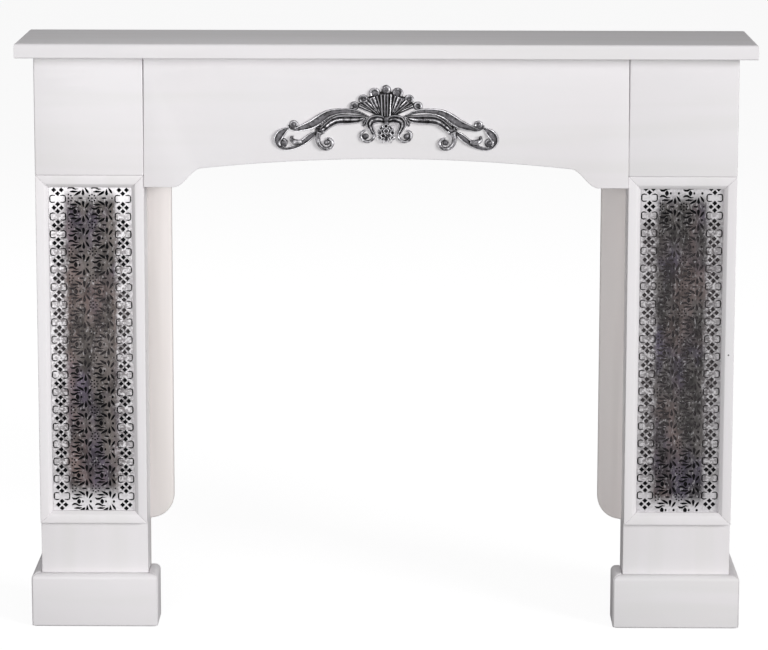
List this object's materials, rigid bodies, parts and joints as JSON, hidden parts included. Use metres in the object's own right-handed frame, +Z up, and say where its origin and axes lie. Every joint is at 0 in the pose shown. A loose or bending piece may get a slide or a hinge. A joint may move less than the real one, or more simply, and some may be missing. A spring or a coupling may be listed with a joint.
{
  "type": "fireplace mantelpiece",
  "caption": "Free-standing painted wooden fire surround with hollow legs, pierced metal panels in mitred frames, an arched frieze and a cast shell ornament.",
  "frame": {"origin": "on the floor, midway along the width and the depth", "axes": "+X along the front to the right as the front is seen, +Y back to the wall, +Z up"},
  "size_m": [1.2, 0.24, 0.976],
  "materials": {
    "painted_wood": "brushed satin paint",
    "pierced_metal": "tarnished silver",
    "dark_lining": "matt black",
    "cast_ornament": "antiqued pewter"
  },
  "bodies": {
    "root": {"mantel_shelf": "painted_wood", "back_rail": "painted_wood", "frieze_apron": "painted_wood", "frieze_block_left": "painted_wood", "frieze_block_right": "painted_wood", "leg_front_left": "painted_wood", "leg_front_right": "painted_wood", "leg_inner_side_left": "painted_wood", "leg_inner_side_right": "painted_wood", "leg_outer_side_left": "painted_wood", "leg_outer_side_right": "painted_wood", "leg_back_left": "painted_wood", "leg_back_right": "painted_wood", "panel_frame_left_top": "painted_wood", "panel_frame_left_bottom": "painted_wood", "panel_frame_left_inner": "painted_wood", "panel_frame_left_outer": "painted_wood", "panel_frame_right_top": "painted_wood", "panel_frame_right_bottom": "painted_wood", "panel_frame_right_inner": "painted_wood", "panel_frame_right_outer": "painted_wood", "perforated_sheet_left": "pierced_metal", "perforated_sheet_right": "pierced_metal", "panel_backing_left": "dark_lining", "panel_backing_right": "dark_lining", "plinth_left_front": "painted_wood", "plinth_left_inner": "painted_wood", "plinth_left_outer": "painted_wood", "plinth_right_front": "painted_wood", "plinth_right_inner": "painted_wood", "plinth_right_outer": "painted_wood", "frieze_ornament": "cast_ornament"}
  },
  "joints": []
}
